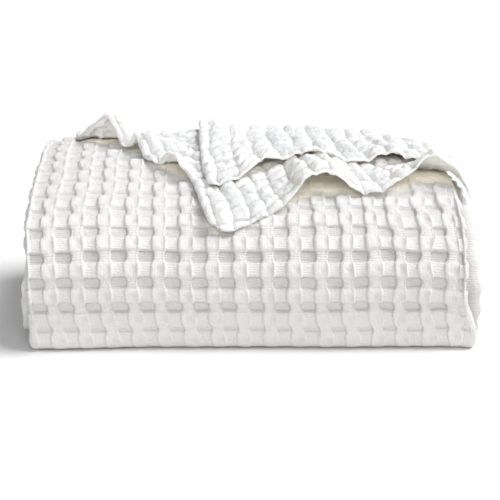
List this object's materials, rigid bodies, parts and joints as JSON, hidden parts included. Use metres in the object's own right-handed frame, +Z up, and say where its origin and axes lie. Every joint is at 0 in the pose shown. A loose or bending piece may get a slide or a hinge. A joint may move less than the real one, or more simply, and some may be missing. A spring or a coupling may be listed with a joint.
{
  "type": "folded waffle weave cotton blanket",
  "caption": "White cotton blanket in a large waffle weave, folded back and forth into a soft bundle with a rounded front and wavy loose corners on top.",
  "frame": {"origin": "bottom centre of the folded bundle, on the surface it rests on", "axes": "+X along the bundle's width, +Y from the rounded front to the back, +Z up"},
  "size_m": [0.3893, 0.2715, 0.1853],
  "materials": {
    "cotton": "matt, washed white cotton in a deep large-scale waffle weave"
  },
  "bodies": {
    "root": {"blanket": "cotton"}
  },
  "joints": []
}
